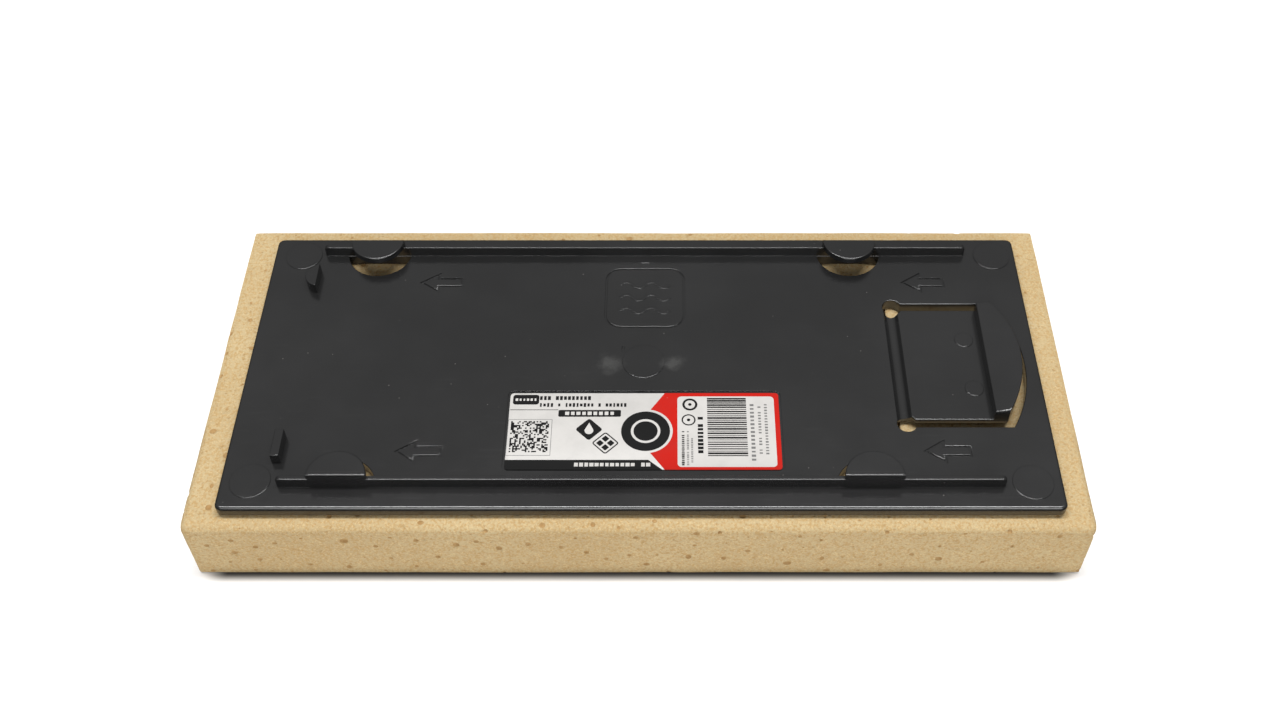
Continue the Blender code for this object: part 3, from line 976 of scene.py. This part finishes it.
def add_emblem(work, sizes):
    """The field inside the emblem's engraved line, with three raised waves."""
    side = EMBLEM_SIZE - 2 * LINE_WIDTH
    add_field(work, rounded_rectangle(EMBLEM, side, side, EMBLEM_CORNER - LINE_WIDTH, 10), sizes)
    for row in (-1, 0, 1):
        wave = [
            (
                EMBLEM[0] + 0.0002 * i - 0.009,
                EMBLEM[1] + 0.0062 * row + 0.0014 * sin(i / 90 * 4 * pi),
            )
            for i in range(0, 91, 2)
        ]
        add_raised(work, thick_line(wave, 0.0005), 0.0002, sizes, 0.00012)


class GROUT_OT_plate(bpy.types.Operator):
    """Build the carrier plate with its rails, hooks, stops and moulded marks"""

    bl_idname = "grout_float.plate"
    bl_label = "Carrier plate"

    def execute(self, context):
        sizes = context.scene.grout_float_moulding
        work = bmesh.new()
        outline = rounded_rectangle(
            (PLATE_X, PLATE_Y),
            PLATE_HIGH.x - PLATE_LOW.x,
            PLATE_HIGH.y - PLATE_LOW.y,
            sizes.corner_round,
            8,
        )
        holes = [latch_opening(sizes.slot_width)]
        holes += [mould_hole(x, side, sizes) for side in (-1, 1) for x in HOOK_XS]
        label_pocket = rounded_rectangle(
            (LABEL_X, LABEL_Y),
            LABEL_HIGH.x - LABEL_LOW.x + 2 * LABEL_MARGIN,
            LABEL_HIGH.y - LABEL_LOW.y + 2 * LABEL_MARGIN,
            LABEL_POCKET_CORNER,
        )
        pockets = [(label_pocket, sizes.face - LABEL_LOW.z + UNDER_LABEL, 0.00005)]
        for x, y in ARROWS:
            arrow = [(x + px / 1000, y + py / 1000) for px, py in ARROW]
            pockets.append((arrow, ENGRAVED, MARK_EDGE))
            add_field(work, moved_outline(arrow, -LINE_WIDTH), sizes)
        emblem = rounded_rectangle(EMBLEM, EMBLEM_SIZE, EMBLEM_SIZE, EMBLEM_CORNER, 10)
        pockets.append((emblem, ENGRAVED, MARK_EDGE))
        turns = [FULL_TURN * i / 16 for i in range(16)]
        nick = [(NICK[0] + 0.0005 * cos(a), NICK[1] + 0.0015 * sin(a)) for a in turns]
        pockets.append((nick, 0.0005, MARK_EDGE))
        edge = sizes.edge_round
        slab(work, outline, PLATE_LOW.z, sizes.face, edge, holes, HOLE_EDGE, pockets, steps=5)
        for side in (-1, 1):
            add_rail(work, side, sizes)
            for x in HOOK_XS:
                add_hook(work, x, side, sizes)
        add_stops(work, sizes)
        add_emblem(work, sizes)
        for place in EJECTOR_MARKS:
            add_raised(work, circle(place, EJECTOR_RADIUS), MARK_RISE, sizes)
        add_raised(work, circle(GATE_MARK, GATE_RADIUS), MARK_RISE, sizes)
        tag = rounded_rectangle(EMBLEM_TAG, 0.0034, 0.0009, 0.0004, 3)
        add_raised(work, tag, 0.0003, sizes, 0.0002)
        blotches = [((*place, sizes.face), radius) for place, radius in BLOTCHES]
        finish = moulding_finish("black_moulding", sizes.colour, blotches)
        plate = piece("plate_moulding", work, [finish])
        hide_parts("carrier_plate")
        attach(plate, "base")
        return {"FINISHED"}


# --- Latch ---


def tab_outline():
    """The raised tab seen from above, a hair narrower than the panel under it."""
    half = TONGUE_HALF - 0.00002
    end = bulged_end(TAB_CORNER, TONGUE_HIGH.x, LATCH_Y, half)
    return end + [(TAB_LEFT, LATCH_Y + half), (TAB_LEFT, LATCH_Y - half)]


def panel_outline(slot_width):
    """The whole tongue, whose two hinge corners are cut round by the relief holes."""
    relief_y = TONGUE_HALF + slot_width / 2
    inward = asin((HINGE_RIGHT - RELIEF_X) / RELIEF_RADIUS)
    outward = asin(slot_width / 2 / RELIEF_RADIUS)
    centre_rear = (RELIEF_X, LATCH_Y + relief_y)
    centre_front = (RELIEF_X, LATCH_Y - relief_y)
    rear = arc(centre_rear, RELIEF_RADIUS, -outward, -pi / 2 + inward, 8)
    front = arc(centre_front, RELIEF_RADIUS, pi / 2 - inward, outward, 8)
    return bulged_end(TAB_CORNER, TONGUE_HIGH.x, LATCH_Y, TONGUE_HALF) + rear + front


class GROUT_OT_latch(bpy.types.Operator):
    """Build the latch tongue with its thumb tab, and the web that it bends on"""

    bl_idname = "grout_float.latch"
    bl_label = "Latch"

    def execute(self, context):
        sizes = context.scene.grout_float_moulding
        finish = moulding_finish("black_moulding_latch", sizes.colour)
        work = bmesh.new()
        panel = panel_outline(sizes.slot_width)
        slab(work, panel, TONGUE_LOW.z, sizes.face, HOLE_EDGE, steps=3)
        for place in PANEL_MARKS:
            add_raised(work, circle(place, PANEL_MARK_RADIUS, 32), MARK_RISE, sizes)
        slope = TAB_CLIMB / (TONGUE_HIGH.x - TAB_LEFT)
        before = set(work.verts)
        slab(work, tab_outline(), sizes.face - 2 * SINK, TONGUE_HIGH.z - TAB_CLIMB, TAB_EDGE)
        for corner in set(work.verts) - before:
            if corner.co.z > sizes.face + 0.001:
                corner.co.z += slope * (corner.co.x - TAB_LEFT)
        tongue = piece("latch_moulding", work, [finish])
        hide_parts("latch_tongue")
        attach(tongue, "latch")

        web = self.web(sizes, finish)
        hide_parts("latch_hinge_web")
        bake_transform(web)
        return {"FINISHED"}

    def web(self, sizes, finish):
        """A U-shaped strip whose ends follow the relief holes."""
        half = (HINGE_RIGHT - HINGE_LEFT) / 2
        inner = (half**2 + GROOVE_DEPTH**2) / (2 * GROOVE_DEPTH)
        centre_x = (HINGE_LEFT + HINGE_RIGHT) / 2
        centre_z = sizes.face - GROOVE_DEPTH + inner
        relief_y = TONGUE_HALF + sizes.slot_width / 2
        steps = 20
        upper, under = [], []
        for i in range(steps + 1):
            x = (half + 0.0002) * (2 * i / steps - 1)
            near = min(abs(x), inner * 0.93)
            upper.append((centre_x + x, centre_z - sqrt(inner**2 - near**2)))
            under.append((centre_x + x, centre_z - sqrt((inner + WEB_THICKNESS) ** 2 - x**2)))
        profile = upper + under[::-1]
        sections = []
        for share in (-1, -0.98, -0.5, 0, 0.5, 0.98, 1):
            section = []
            for x, z in profile:
                away = min(abs(x - RELIEF_X), RELIEF_RADIUS * 0.999)
                reach_y = relief_y - sqrt(RELIEF_RADIUS**2 - away**2)
                section.append((x, LATCH_Y + share * reach_y, z))
            sections.append(section)
        work = bmesh.new()
        for ring in tube(work, sections):
            for i in range(steps):
                work.faces.new((ring[i], ring[i + 1], ring[-i - 2], ring[-i - 1]))
        return piece("latch_web", work, [finish])


# --- Label and glue ---


def print_tree():
    """Geometry nodes that print a grid of small blocks with random sizes and gaps."""
    tree, ids, given, result = geometry_tree(
        "printed_blocks",
        {
            "across": ("Blocks across", "Int", 2),
            "down": ("Blocks down", "Int", 2),
            "length": ("Length", "Float", 0.01),
            "width": ("Width", "Float", 0.01),
            "block": ("Block size", "Vector", (0.001, 0.001, 0.0001)),
            "least": ("Smallest share", "Vector", (1, 1, 1)),
            "kept": ("Share kept", "Float", 1.0),
            "seed": ("Seed", "Int", 1),
            "place": ("Place", "Vector", (0, 0, 0)),
            "turn": ("Turn", "Float", 0.0),
            "ink": ("Ink", "Material", None),
        },
    )

    put = partial(output_of, tree)
    grid = put(
        "GeometryNodeMeshGrid",
        {
            "Size X": given["Length"],
            "Size Y": given["Width"],
            "Vertices X": given["Blocks across"],
            "Vertices Y": given["Blocks down"],
        },
    )
    keep = {6: given["Share kept"], 8: given["Seed"]}
    size = {0: given["Smallest share"], 1: (1, 1, 1), 8: given["Seed"]}
    blocks = put(
        "GeometryNodeInstanceOnPoints",
        {
            "Points": put("GeometryNodeMeshToPoints", {"Mesh": grid}),
            "Selection": put("FunctionNodeRandomValue", keep, 3, data_type="BOOLEAN"),
            "Instance": put("GeometryNodeMeshCube", {"Size": given["Block size"]}),
            "Scale": put("FunctionNodeRandomValue", size, data_type="FLOAT_VECTOR"),
        },
    )
    spin = put("ShaderNodeCombineXYZ", {2: given["Turn"]})
    placed = put(
        "GeometryNodeTransform",
        {
            "Geometry": put("GeometryNodeRealizeInstances", {0: blocks}),
            "Translation": given["Place"],
            "Rotation": put("FunctionNodeEulerToRotation", {0: spin}),
        },
    )
    inked = put("GeometryNodeSetMaterial", {"Geometry": placed, "Material": given["Ink"]})
    tree.links.new(inked, result)
    return tree, ids


class GROUT_OT_label(bpy.types.Operator):
    """Build the label's film and its generic print"""

    bl_idname = "grout_float.label"
    bl_label = "Label"

    LAYER = 0.000012  # height of each printed layer over the one below
    INK = 0.00006  # thickness of a printed shape, most of it inside the film
    INK_EDGE = 0.000002
    FILM_INSET = 0.00007

    def execute(self, context):
        colours = context.scene.grout_float_label
        self.finishes = [
            printed_finish("label_film", colours.film),
            printed_finish("label_dark_ink", colours.ink, 0.5, 0.12),
            printed_finish("label_accent_ink", colours.accent, 0.40, 0.2),
            printed_finish("label_pale_ink", (0.15, 0.148, 0.145), 0.45, 0.2),
        ]
        self.work = bmesh.new()
        self.tree, self.ids = print_tree()
        self.seed = colours.seed
        self.film()
        self.fields()
        self.left_side()
        self.right_side()
        label = piece("printed_label", self.work, self.finishes, even=False)
        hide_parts("label")
        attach(label, "base")
        return {"FINISHED"}

    def shape(self, outline, layer, slot, holes=(), through=False):
        """A printed area, in millimetres from the label's middle. Through colours the film's edge."""
        top = LABEL_HIGH.z + layer * self.LAYER
        low = LABEL_LOW.z if through else LABEL_HIGH.z - self.INK
        around = [(LABEL_X + x / 1000, LABEL_Y + y / 1000) for x, y in outline]
        inside = [[(LABEL_X + x / 1000, LABEL_Y + y / 1000) for x, y in hole] for hole in holes]
        edge = self.INK_EDGE
        slab(self.work, around, low, top, edge, inside, edge, steps=1, slot=slot)

    def blocks(self, centre, size, count, block, layer, slot, least=(1, 1), kept=1.0, turn=0.0):
        """Rows of small printed blocks from the node tree. Sizes are in millimetres."""
        mesh = bpy.data.meshes.new("print")
        holder = bpy.data.objects.new("print", mesh)
        bpy.context.scene.collection.objects.link(holder)
        step = holder.modifiers.new("print", "NODES")
        step.node_group = self.tree
        height = LABEL_HIGH.z + layer * self.LAYER - self.INK / 2
        self.seed += 1
        values = {
            "across": count[0],
            "down": count[1],
            "length": size[0] / 1000,
            "width": size[1] / 1000,
            "block": (block[0] / 1000, block[1] / 1000, self.INK),
            "least": (least[0], least[1], 1.0),
            "kept": kept,
            "seed": self.seed,
            "place": (LABEL_X + centre[0] / 1000, LABEL_Y + centre[1] / 1000, height),
            "turn": turn,
            "ink": self.finishes[slot],
        }
        for key, value in values.items():
            step[self.ids[key]] = value
        printed = evaluated_mesh(holder)
        before = len(self.work.faces)
        self.work.from_mesh(printed)
        self.work.faces.ensure_lookup_table()
        for face in self.work.faces[before:]:
            face.material_index = slot
        bpy.data.objects.remove(holder, do_unlink=True)
        bpy.data.meshes.remove(mesh)
        bpy.data.meshes.remove(printed)

    def film(self):
        outline = rounded_rectangle(
            (LABEL_X, LABEL_Y),
            LABEL_HIGH.x - LABEL_LOW.x - 2 * self.FILM_INSET,
            LABEL_HIGH.y - LABEL_LOW.y - 2 * self.FILM_INSET,
            0.0013,
        )
        slab(self.work, outline, LABEL_LOW.z, LABEL_HIGH.z, 0.00004, steps=2)

    def fields(self):
        """The accent field with its panel, the dark strip along the front, and the dark disc."""
        half_x, half_y, inset = 46.25, 16.1, 1.2
        disc = (0.6, -0.2)
        reach = radians(80)
        right = rounded_rectangle((0, 0), 2 * half_x, 2 * half_y, inset)
        upper = [(x, y) for x, y in right if x > 10 and y > 0]
        lower = [(x, y) for x, y in right if x > 10 and y < 0]
        inner = arc(disc, 9.2, reach, -reach, 32)
        edge = [(7.1, half_y)] + inner + [(7.1, -half_y)]
        self.shape(lower + upper + edge, 1, 2, through=True)
        strip = [(6.3, -half_y), (1.6, -12.1), (-half_x, -12.1)]
        strip += [(-half_x, -15.1), (-45.9, -15.8), (-45.2, -half_y)]
        self.shape(strip, 1, 1, through=True)
        self.shape(rounded_rectangle((28.0, -0.2), 33.2, 29.6, 1.4), 2, 0)
        self.shape(circle(disc, 8.3), 2, 1)
        self.shape(circle(disc, 5.0), 3, 0, [circle(disc, 4.1)])

    def left_side(self):
        """Badge, lines of greeked text, code block and two pictograms on the bare film."""
        self.shape(rounded_rectangle((-40.7, 13.2), 9.0, 4.2, 1.0), 1, 1)
        self.blocks((-40.7, 13.2), (6.4, 0), (6, 1), (0.9, 1.1), 2, 0, (0.6, 0.8))
        self.blocks((-27.2, 13.9), (16.6, 0), (13, 1), (1.05, 1.75), 1, 1, (0.75, 0.85), 0.94)
        self.blocks((-21.0, 10.9), (29.0, 0), (24, 1), (1.0, 1.7), 1, 1, (0.55, 0.7), 0.92)
        self.shape([(-46.0, 8.95), (-46.0, 8.7), (-29.4, 8.7), (-29.4, 8.95)], 1, 1)
        self.shape(rounded_rectangle((-18.6, 7.3), 21.4, 2.9, 0.5), 1, 1)
        self.blocks((-18.6, 7.3), (15.4, 0), (9, 1), (1.45, 1.5), 2, 0, (0.8, 0.9))
        frame_outer = rounded_rectangle((-38.7, -2.8), 15.0, 15.2, 0.1, 1)
        self.shape(frame_outer, 1, 3, [moved_outline(frame_outer, -0.18)])
        self.blocks((-38.7, -2.5), (12.4, 12.4), (24, 24), (0.56, 0.56), 1, 1, kept=0.5)
        for centre, filled in (((-18.6, 0.5), True), ((-12.9, -5.2), False)):
            tile = rounded_rectangle(centre, 6.6, 6.7, 0.9)
            tile = turned(tile, centre, pi / 4)
            holes = () if filled else [moved_outline(tile, -0.45)]
            self.shape(tile, 1, 1, holes)
        drop = arc((-18.6, 0.0), 1.5, pi * 0.9, pi * 2.1, 20) + [(-18.6, 3.3)]
        self.shape(drop, 2, 0)
        for dx, dy in ((0, 1.8), (1.8, 0), (0, -1.8), (-1.8, 0)):
            centre = (-12.9 + dx, -5.2 + dy)
            self.shape(turned(rounded_rectangle(centre, 1.9, 1.9, 0.25), centre, pi / 4), 1, 1)
        self.blocks((-10.4, -14.05), (24.0, 0), (15, 1), (1.45, 1.6), 2, 0, (0.75, 0.8), 0.94)

    def right_side(self):
        """Two rings, columns of greeked text and a row of plain bars on the panel."""
        for centre, radius, width in (((15.7, 11.1), 2.6, 0.8), ((15.2, 4.5), 2.4, 0.5)):
            self.shape(circle(centre, radius, 32), 3, 1, [circle(centre, radius - width, 32)])
            self.shape(circle(centre, 0.6, 16), 3, 1)
        for centre, length, count, block, slot, least, kept in (
            ((19.2, -1.8), 14.0, 10, (1.25, 2.0), 1, (0.75, 0.8), 0.95),
            ((13.3, -7.3), 13.6, 18, (0.65, 1.0), 1, (0.6, 0.8), 0.9),
            ((14.9, -7.3), 13.6, 20, (0.55, 0.8), 3, (0.6, 0.7), 0.9),
            ((16.3, -8.6), 10.2, 15, (0.55, 0.8), 3, (0.6, 0.7), 0.9),
            ((28.3, 1.6), 24.0, 27, (0.80, 13.4), 1, (0.25, 1.0), 1.0),
            ((36.9, 0.2), 24.5, 16, (0.95, 1.5), 3, (0.7, 0.8), 0.9),
            ((39.4, 0.9), 20.5, 18, (0.75, 1.1), 3, (0.6, 0.8), 0.88),
            ((41.6, 0.7), 20.5, 18, (0.75, 1.1), 3, (0.6, 0.8), 0.88),
        ):
            self.blocks(centre, (length, 0), (count, 1), block, 3, slot, least, kept, pi / 2)


class GROUT_OT_glue(bpy.types.Operator):
    """Give the adhesive layer its finish"""

    bl_idname = "grout_float.glue"
    bl_label = "Adhesive layer"

    def execute(self, context):
        layer = frame["nodes"]["adhesive_layer"]
        finish = glue_finish("dried_glue")
        layer.data.materials.clear()
        layer.data.materials.append(finish)
        return {"FINISHED"}


# --- Stage ---


def add_light(name, place, target, size, power):
    """A soft rectangular light that faces the target."""
    lamp = bpy.data.lights.new(name, "AREA")
    lamp.shape = "RECTANGLE"
    lamp.size, lamp.size_y = size
    lamp.energy = power
    made = bpy.data.objects.new(name, lamp)
    made.location = place
    made.rotation_euler = (Vector(target) - Vector(place)).to_track_quat("-Z", "Y").to_euler()
    bpy.context.scene.collection.objects.link(made)
    return made


class GROUT_OT_stage(bpy.types.Operator):
    """Build the pale floor with its painted contact shadow, the soft lights and the camera"""

    bl_idname = "grout_float.stage"
    bl_label = "Stage"

    def execute(self, context):
        scene = context.scene
        sizes = scene.grout_float_stage
        work = bmesh.new()
        bmesh.ops.create_grid(work, x_segments=1, y_segments=1, size=3.0)
        floor = piece("floor", work, [self.floor_with_painted_shadow()], even=False)
        floor.visible_glossy = False
        add_light("overhead", (0.0, 0.07, 1.15), (0, 0, 0), (1.1, 0.20), sizes.overhead)
        add_light("front", (0.05, -1.25, 0.75), (0, 0, 0.02), (1.3, 0.5), sizes.front)
        self.surround(scene, sizes.surround)
        scene.view_settings.view_transform = "Standard"

        view = bpy.data.cameras.new("camera")
        view.lens = sizes.lens
        view.sensor_width = 36.0
        view.shift_x = sizes.shift
        view.clip_start = 0.01
        camera = bpy.data.objects.new("camera", view)
        camera.location = sizes.camera_place
        camera.rotation_euler = (sizes.camera_tilt, 0, 0)
        scene.collection.objects.link(camera)
        scene.camera = camera
        return {"FINISHED"}

    def floor_with_painted_shadow(self):
        """Pale floor with a painted contact shadow: a thin grey band along the foot of the foam's front
        face.
        """
        made, tree, shader, place = new_finish("pale_floor_painted_shadow", 0.8, 0.1)
        tone = between(tree, noise(tree, place, 3, 2), 0.3, 0.7)
        pale = blend_colours(tree, tone, (0.93, 0.93, 0.93, 1), (0.95, 0.95, 0.95, 1))
        part = add_node(tree, "ShaderNodeSeparateXYZ", {0: place}).outputs
        edge = SPONGE_LOW.y
        shadow_band = between(tree, part[1], edge - 0.0040, edge + 0.0004)
        before = between(tree, part[1], edge + 0.002, edge + 0.006, 1.0, 0.0)
        along = arithmetic(tree, "ABSOLUTE", part[0])
        inside = between(tree, along, SPONGE_HIGH.x - 0.010, SPONGE_HIGH.x - 0.001, 1.0, 0.0)
        # Painted contact shadow: the floor is darkened towards grey in this band in front of the foam's
        # foot.
        shade = arithmetic(tree, "MULTIPLY", arithmetic(tree, "MULTIPLY", shadow_band, before), inside)
        tree.links.new(
            blend_colours(tree, shade, pale, (0.06, 0.06, 0.06, 1)), shader.inputs["Base Color"]
        )
        return made

    def surround(self, scene, strength):
        """Studio walls: brighter overhead, dark towards the floor."""
        world = bpy.data.worlds.new("studio")
        world.use_nodes = True
        tree = world.node_tree
        way = tree.nodes.new("ShaderNodeTexCoord").outputs["Generated"]
        height = add_node(tree, "ShaderNodeSeparateXYZ", {0: way}).outputs[2]
        lit = between(tree, height, -0.15, 0.9, 0.12, 1.0)
        background = tree.nodes["Background"]
        tree.links.new(arithmetic(tree, "MULTIPLY", lit, strength), background.inputs["Strength"])
        background.inputs["Color"].default_value = (1, 1, 1, 1)
        scene.world = world


# --- Add-on ---


class GROUT_PT_panel(bpy.types.Panel):
    """Lists the pieces of the sponge base"""

    bl_idname = "GROUT_PT_panel"
    bl_label = "Grout float sponge base"
    bl_space_type = "VIEW_3D"
    bl_region_type = "UI"
    bl_category = "Grout float"

    def draw(self, context):
        scene = context.scene
        for operator in BUILD_ORDER:
            self.layout.operator(operator.bl_idname)
        for name in SETTINGS:
            group = getattr(scene, name)
            box = self.layout.box()
            for key in group.bl_rna.properties.keys():
                if key not in ("rna_type", "name"):
                    box.prop(group, key)


BUILD_ORDER = (
    GROUT_OT_foam,
    GROUT_OT_plate,
    GROUT_OT_latch,
    GROUT_OT_label,
    GROUT_OT_glue,
    GROUT_OT_stage,
)
SETTINGS = {
    "grout_float_sponge": SpongeSettings,
    "grout_float_moulding": MouldingSettings,
    "grout_float_label": LabelSettings,
    "grout_float_stage": StageSettings,
}


def register():
    for kind in (*SETTINGS.values(), *BUILD_ORDER, GROUT_PT_panel):
        bpy.utils.register_class(kind)
    for name, kind in SETTINGS.items():
        setattr(bpy.types.Scene, name, PointerProperty(type=kind))


def unregister():
    for name in SETTINGS:
        delattr(bpy.types.Scene, name)
    for kind in reversed((*SETTINGS.values(), *BUILD_ORDER, GROUT_PT_panel)):
        bpy.utils.unregister_class(kind)


def main():
    register()
    bpy.ops.grout_float.foam()
    bpy.ops.grout_float.plate()
    bpy.ops.grout_float.latch()
    bpy.ops.grout_float.label()
    bpy.ops.grout_float.glue()
    bpy.ops.grout_float.stage()
    bpy.context.view_layer.update()


if __name__ == "__main__":
    main()
